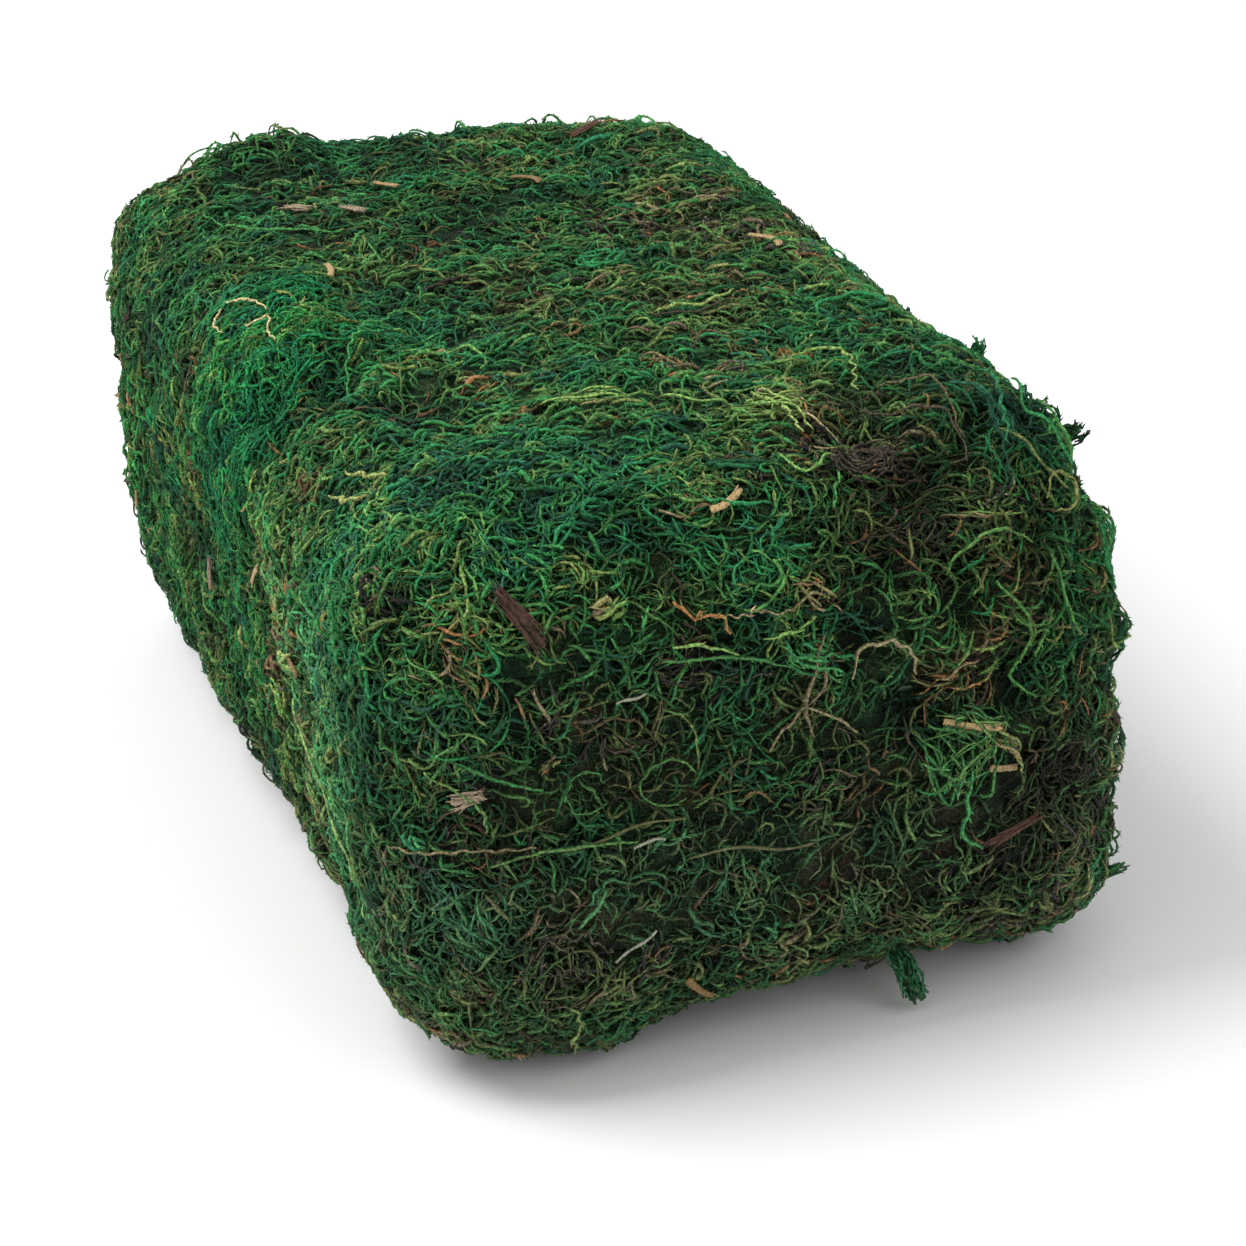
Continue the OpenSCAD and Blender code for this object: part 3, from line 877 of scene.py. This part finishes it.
def straw(middle, axis, length, width, rng):
    """A flattened, split straw stalk with a loose splinter along it."""
    rings = 18
    path, up = resting_line(middle, axis, length, rings, 0.35, 0.25, rng)
    along = np.linspace(0, 1, rings)
    wide = width * (0.95 + 0.06 * rng.normal(0, 1, rings)) * (1 - 0.3 * along)
    wide[[0, -1]] *= 0.7
    yield rod(path, up, wide, 0.5 * wide, 0.12, rng)
    offset = np.cross(up, axis) * width * 0.42
    part = slice(rings // 3, rings)
    loose = path + offset * (0.7 + 0.5 * along[:, None] ** 2) + up * 0.12
    yield rod(loose[part], up[part], 0.3 * wide[part], 0.28 * wide[part], 0.1, rng, 5)


def bark(middle, axis, length, width, rng):
    """A bark sliver that frays into fibres at its ends."""
    rings = 14
    path, up = resting_line(middle, axis, length, rings, 0.3, 0.1, rng)
    along = np.linspace(0, 1, rings)
    wide = width * (0.25 + 0.4 * np.sin(np.pi * (0.08 + 0.84 * along))) * (1 + 0.2 * rng.normal(0, 1, rings))
    yield rod(path, up, wide, 0.3 * width * np.ones(rings), 0.2, rng, 11)
    across = np.cross(up, axis)
    for _ in range(12):
        shift = rng.uniform(-0.55, 0.55) * width
        splay = rng.normal(0, 0.5)
        stretch = axis * rng.uniform(-0.16, 0.16) * length
        sideways = shift + splay * (along[:, None] - 0.5) * width
        fibre = path + stretch + across * sideways + up * rng.uniform(0, 0.5)
        thin = np.full(rings, rng.uniform(0.22, 0.5)) * (1 - 0.6 * np.abs(2 * along - 1))
        yield rod(fibre, up, thin, thin, 0.1, rng, 5)


def bare_stem(middle, axis, length, width, rng):
    """A bare, slightly crooked moss stem that follows the moss under it."""
    rings = 26
    along = np.linspace(-0.5, 0.5, rings)
    crook = np.sin(np.pi * (along + 0.5)) * rng.normal(0, 0.06)
    crook = crook + 0.03 * np.sin(7 * along + rng.uniform(0, 6))
    line = middle + np.outer(along * length, axis)
    _, normal = on_skin(line)
    base, normal = on_skin(line + np.cross(normal, axis) * (crook * length)[:, None])
    path = base + normal * (relief(base) + 0.35)[:, None]
    wide = width * (0.6 + 0.08 * rng.normal(0, 1, rings)) * (1 - 0.6 * np.abs(along))
    yield rod(path, normal, wide, 0.85 * wide, 0.06, rng, 7)


def show(name, mesh, material, slot, *nodes):
    """Puts a mesh in the scene as a piece that rides with the brick and stands for these CAD nodes."""
    piece = add_object(name, mesh)
    mesh.materials.clear()
    mesh.materials.append(material)
    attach(piece, "root")
    if nodes:
        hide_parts(*nodes)


# ---- materials


def srgb(red, green, blue):
    """A colour given in display values from 0 to 255, as Blender's linear colour."""
    def linear(value):
        value = value / 255
        return value / 12.92 if value <= 0.04045 else ((value + 0.055) / 1.055) ** 2.4
    return (linear(red), linear(green), linear(blue), 1)


def grey(value):
    """A grey with that linear value."""
    return (value, value, value, 1)


class Nodes:
    """A material's nodes, made and joined with few words."""

    def __init__(self, name):
        self.material = bpy.data.materials.new(name)
        self.material.use_nodes = True
        self.tree = self.material.node_tree
        self.shader = self.tree.nodes["Principled BSDF"]
        self.place = self.add("ShaderNodeTexCoord").outputs["Object"]

    def add(self, kind, inputs=None, **settings):
        """A node of that kind. Each input is given as a value or as another node's socket."""
        node = self.tree.nodes.new(kind)
        for key, value in settings.items():
            setattr(node, key, value)
        for key, value in (inputs or {}).items():
            self.join(value, node.inputs[key])
        return node

    def join(self, value, socket):
        if isinstance(value, bpy.types.NodeSocket):
            self.tree.links.new(value, socket)
        else:
            socket.default_value = value

    def attribute(self, name):
        return self.add("ShaderNodeAttribute", attribute_name=name).outputs["Fac"]

    def noise(self, scale, detail, offset=0.0):
        """Noise with features of about one metre over that scale. The offset gives another pattern."""
        addends = {0: self.place, 1: (offset,) * 3}
        moved = self.add("ShaderNodeVectorMath", addends, operation="ADD").outputs[0]
        inputs = {"Vector": moved, "Scale": scale, "Detail": detail}
        return self.add("ShaderNodeTexNoise", inputs).outputs["Fac"]

    def math(self, operation, a, b):
        return self.add("ShaderNodeMath", {0: a, 1: b}, operation=operation).outputs[0]

    def shifted(self, value, noise, amount):
        """The value moved up and down by the noise, by that amount in all."""
        return self.math("ADD", value, self.math("MULTIPLY", self.math("SUBTRACT", noise, 0.5), amount))

    def spread(self, value, low, high, to_low=0.0, to_high=1.0):
        """The value stretched from low and high to the other two, and kept between them."""
        inputs = {"Value": value, "From Min": low, "From Max": high, "To Min": to_low, "To Max": to_high}
        return self.add("ShaderNodeMapRange", inputs).outputs[0]

    def ramp(self, factor, stops):
        """The colour at the factor along the stops, each a place and a colour."""
        node = self.add("ShaderNodeValToRGB", {0: factor})
        elements = node.color_ramp.elements
        while len(elements) < len(stops):
            elements.new(0.5)
        for element, (place, colour) in zip(elements, stops):
            element.position = place
            element.color = colour
        return node.outputs[0]

    def times(self, a, b):
        """One colour multiplied by the other."""
        return self.mix("MULTIPLY", 1.0, a, b)

    def shaded(self, colour, value, *stops):
        """The colour times a grey that the value picks along the stops, each a place and a grey."""
        return self.times(colour, self.ramp(value, [(place, grey(level)) for place, level in stops]))

    def mix(self, kind, factor, a, b):
        """Two colours mixed. A mix node's colour sockets come after those for numbers and vectors."""
        node = self.add("ShaderNodeMix", data_type="RGBA", blend_type=kind)
        for index, value in ((0, factor), (6, a), (7, b)):
            self.join(value, node.inputs[index])
        return node.outputs[2]

    def bump(self, height, distance, strength=0.6):
        """A bump of that distance in millimetres."""
        inputs = {"Height": height, "Distance": distance * MM, "Strength": strength}
        return self.add("ShaderNodeBump", inputs).outputs[0]

    def finish(self, **sockets):
        """Joins the values to the shader's own sockets, and gives the material."""
        for key, value in sockets.items():
            self.join(value, self.shader.inputs[key.replace("_", " ")])
        return self.material


# The dyed moss by tone: brown, cream, orange, olive, emerald and dark teal.
DYES = [
    (0.0, srgb(44, 42, 38)), (0.035, srgb(78, 64, 50)), (0.07, srgb(124, 118, 82)),
    (0.10, srgb(94, 84, 62)), (0.12, srgb(138, 94, 50)), (0.14, srgb(98, 92, 60)),
    (0.20, srgb(102, 110, 58)), (0.30, srgb(86, 116, 54)), (0.45, srgb(60, 110, 50)),
    (0.60, srgb(36, 106, 48)), (0.75, srgb(20, 104, 52)), (0.90, srgb(14, 92, 54)),
    (1.0, srgb(14, 74, 54)),
]


def moss_material(name, painted_light_level, dull, felt):
    """Dyed dried moss: each stem has its own colour, mottled along it, with painted shade that darkens it
    the deeper it lies and a painted sheen on the brightest stems. The felt of the bed gets the same dyes,
    with fine stems drawn on it as ridges of noise and painted shade between them."""
    n = Nodes(name)
    fine = n.noise(1400.0, 4.0)
    own = n.attribute("tone")
    coarse = n.noise(420.0, 2.0, 3.0)
    mixed = n.math("ADD", n.math("MULTIPLY", fine, 0.6), n.math("MULTIPLY", coarse, 0.4))
    tone = n.shifted(own, mixed, n.spread(own, 0.14, 0.34, 0.0, 0.4))
    dye = n.mix("MIX", dull, n.ramp(tone, DYES), srgb(70, 78, 70))
    light = n.math("DIVIDE", n.attribute("light"), MOST_LIGHT)
    # painted sheen: the brightest common stems are tinted paler and greyer, as a highlight makes them; the
    # top stop is the pale colour of the most bleached stems
    pale_and_painted_sheen = (1.72, 1.54, 1.62, 1)
    brightness = n.ramp(light, [(0, grey(0.28)), (0.333, grey(0.94)), (0.667, pale_and_painted_sheen), (1, grey(3.6))])
    # painted light and shade: each mat's moss is made brighter where it stands lit and darker where it
    # stands in shade, by its level in MATS
    colour = n.times(n.times(dye, brightness), grey(painted_light_level))
    leaves = n.noise(1900.0, 3.0, 7.0)
    colour = n.shaded(colour, leaves, (0.36, 0.5), (0.5, 1), (0.63, 1.6))
    # painted shade: the deeper a stem, a leaf or the felt lies under the moss surface, the darker it is
    # painted
    painted_depth_shade = n.spread(n.attribute("rise"), -2.6, 0.8)
    colour = n.shaded(colour, painted_depth_shade, (0, 0.24), (0.4, 0.55), (0.65, 0.95), (1, 1.4))
    height = leaves
    if felt:
        drawn = 0.0
        ridge = [(0.42, grey(0)), (0.5, grey(1)), (0.58, grey(0))]
        for scale, offset in ((520.0, 1.0), (640.0, 5.0), (820.0, 9.0)):
            drawn = n.math("MAXIMUM", n.ramp(n.noise(scale, 1.5, offset), ridge), drawn)
        # painted shade in the gaps between the drawn stems
        colour = n.shaded(colour, drawn, (0, 0.22), (1, 1))
        height = n.shifted(drawn, fine, 0.8)
    roughness = n.spread(leaves, 0.3, 0.7, 0.66, 0.9)
    bump = n.bump(height, 0.5 if felt else 0.12, 0.9 if felt else 0.5)
    return n.finish(Base_Color=colour, Roughness=roughness, Specular_IOR_Level=0.28, Normal=bump)


def fibre_material(name, colours, scale):
    """Dry plant matter: the bit's own colour from the list, streaked and speckled, rough all over."""
    n = Nodes(name)
    streaks = n.noise(scale, 5.0)
    tone = n.shifted(n.attribute("tone"), streaks, 1.0)
    stops = zip(np.linspace(0, 1, len(colours)), colours)
    colour = n.ramp(tone, [(stop, srgb(*dry)) for stop, dry in stops])
    light = n.math("DIVIDE", n.attribute("light"), MOST_LIGHT)
    colour = n.shaded(colour, light, (0, 0.7), (0.667, 1.1), (0.93, 3.4))
    fine = n.noise(2600.0, 2.0, 4.0)
    colour = n.shaded(colour, fine, (0.34, 0.45), (0.48, 1), (0.7, 1.25))
    roughness = n.spread(streaks, 0.3, 0.7, 0.5, 0.85)
    bump = n.bump(streaks, 0.2)
    return n.finish(Base_Color=colour, Roughness=roughness, Specular_IOR_Level=0.35, Normal=bump)


def foam_material():
    """Green open-celled brittle foam: fine cells, dusty and matt."""
    n = Nodes("dry_foam")
    cells = n.add("ShaderNodeTexVoronoi", {"Vector": n.place, "Scale": 1600.0}).outputs["Distance"]
    patches = n.noise(60.0, 5.0)
    base = n.ramp(patches, [(0.3, srgb(62, 94, 52)), (0.5, srgb(74, 107, 61)), (0.7, srgb(92, 122, 74))])
    colour = n.shaded(base, cells, (0.1, 0.55), (0.5, 1.05))
    roughness = n.spread(patches, 0.3, 0.7, 0.85, 0.98)
    return n.finish(Base_Color=colour, Roughness=roughness, Specular_IOR_Level=0.1,
                    Normal=n.bump(cells, 0.3, 0.8))


def wire_material():
    """Drawn steel wire with a thin green lacquer, worn in spots."""
    n = Nodes("pin_wire")
    wear = n.noise(900.0, 6.0)
    scratches = n.noise(4000.0, 2.0, 2.0)
    colour = n.ramp(wear, [(0.35, srgb(40, 62, 44)), (0.55, srgb(58, 84, 58)), (0.68, srgb(120, 120, 112))])
    return n.finish(Base_Color=colour, Metallic=n.spread(wear, 0.6, 0.7, 0.15, 0.9),
                    Roughness=n.spread(scratches, 0.3, 0.7, 0.32, 0.6), Normal=n.bump(scratches, 0.03))


# ---- the brick

MATS = {
    # node: slot, painted light level (lit brighter above 1, shaded darker below 1) and dullness of its moss
    "corner_clump": ("shaded_moss", 0.86, 0.1), "edge_patch": ("bright_moss", 1.0, 0.0),
    "front_lower_mat": ("shaded_moss", 1.1, 0.4), "front_upper_mat": ("shaded_moss", 0.94, 0.22),
    "back_mat": ("olive_moss", 1.0, 0.15),
    "left_front_mat": ("olive_moss", 1.56, 0.26), "left_back_mat": ("olive_moss", 1.0, 0.04),
    "right_front_mat": ("shaded_moss", 0.95, 0.3), "right_back_mat": ("olive_moss", 1.0, 0.15),
    "top_front_mat": ("olive_moss", 1.2, 0.12), "top_back_mat": ("olive_moss", 1.15, 0.13),
    "bottom_mat": ("shaded_moss", 0.95, 0.3),
}
FACES_PER_PIECE = 180000  # about the most triangles that a piece of stems gets


def mat_of(points):
    """The index in MATS of the mat that each point on the skin belongs to."""
    owner = np.full(len(points), -1)
    for index, node in enumerate(MATS):
        low, high = node_box(node)
        inside = np.all((points > low - 0.5) & (points < high + 0.5), axis=1)
        owner[inside & (owner < 0)] = index
    return owner


def moss():
    """A bed and its stems for each mat. A mat with many stems has them in several pieces."""
    rng = np.random.default_rng(SEED)
    batches = tangle(rng) + laid_by_hand(rng)
    owners = [mat_of(on_skin(batch.path[:, 0])[0]) for batch in batches]
    for index, (node, (slot, painted_light_level, dull)) in enumerate(MATS.items()):
        look = moss_material(f"{node}_look", painted_light_level, dull, False)
        felt = moss_material(f"{node}_felt", painted_light_level, dull, True)
        mine = [batch.only(owner == index) for batch, owner in zip(batches, owners)]
        total = sum(len(batch.path) * batch.faces() for batch in mine)
        parts = math.ceil(total / FACES_PER_PIECE)
        show(f"{node}_bed", bed_mesh(node), felt, slot, node)
        for part in range(parts):
            share = [batch.only(np.arange(len(batch.path)) % parts == part) for batch in mine]
            name = f"{node}_stems_{part + 1}"
            show(name, stem_mesh(name, share, rng), look, slot, node)


def core_and_debris():
    """The bits caught in the moss, and the surfaces of the foam and the pins under it."""
    straws = fibre_material("dry_straw", [(146, 116, 74), (172, 146, 102), (190, 172, 132)], 700.0)
    barks = fibre_material("bark", [(52, 36, 28), (94, 64, 48), (112, 78, 58), (150, 134, 112)], 1500.0)
    stems = fibre_material("bare_stem", [(66, 54, 40), (84, 74, 46), (88, 92, 54), (140, 142, 122)], 800.0)
    debris("straw_stalks", "straw", straws, "straw", straw)
    debris("bark_slivers", "bark", barks, "bark", bark)
    debris("bare_stems", "stem_bits", stems, "dry_stem", bare_stem)
    for node, material in (("foam_core", foam_material()), ("greening_pins", wire_material())):
        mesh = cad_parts[node].data
        mesh.materials.clear()
        mesh.materials.append(material)


# ---- stage


def lay_floor():
    """A pale floor, much wider than the view."""
    mesh = bpy.data.meshes.new("floor")
    reach = 6.0
    corners = [(-reach, -reach, 0), (reach, -reach, 0), (reach, reach, 0), (-reach, reach, 0)]
    mesh.from_pydata(corners, [], [(0, 1, 2, 3)])
    floor = add_object("floor", mesh)
    mesh.materials.append(Nodes("floor").finish(Base_Color=grey(0.93), Roughness=0.9))


def softbox(name, place, size, power):
    """A square lamp that faces the middle of the brick."""
    data = bpy.data.lights.new(name, "AREA")
    data.shape = "SQUARE"
    data.size = size
    data.energy = power
    lamp = add_object(name, data)
    lamp.location = place
    towards = Vector((0, 0, BLOCK_TOP / 2 * MM)) - Vector(place)
    lamp.rotation_euler = towards.to_track_quat("-Z", "Y").to_euler()


def set_lights():
    """An even white surrounding, with a soft key light from above and a weaker one from the front."""
    world = bpy.data.worlds.new("studio")
    bpy.context.scene.world = world
    world.use_nodes = True
    background = world.node_tree.nodes["Background"]
    background.inputs["Color"].default_value = grey(1)
    background.inputs["Strength"].default_value = 0.75
    softbox("key", (-0.6, 0.15, 1.1), 0.7, 11.0)
    softbox("fill", (0.5, -1.1, 0.8), 0.9, 3.0)


def set_camera():
    """A long lens, above and to the left of the front, tilted a little, and colours shown as they are."""
    place = (-0.1596, -0.6381, 0.3010)
    azimuth = math.radians(-14.85)
    elevation = math.radians(22.61)
    roll = math.radians(-5.43)
    level = math.cos(elevation)
    back = Vector((math.sin(azimuth) * level, -math.cos(azimuth) * level, math.sin(elevation)))
    turn = (-back).to_track_quat("-Z", "Y").to_matrix().to_4x4() @ Matrix.Rotation(roll, 4, "Z")
    data = bpy.data.cameras.new("camera")
    data.lens = 112.4
    data.sensor_width = 36.0
    camera = add_object("camera", data)
    camera.matrix_world = Matrix.Translation(place) @ turn
    bpy.context.scene.camera = camera
    bpy.context.scene.view_settings.view_transform = "Standard"


moss()
core_and_debris()
lay_floor()
set_lights()
set_camera()
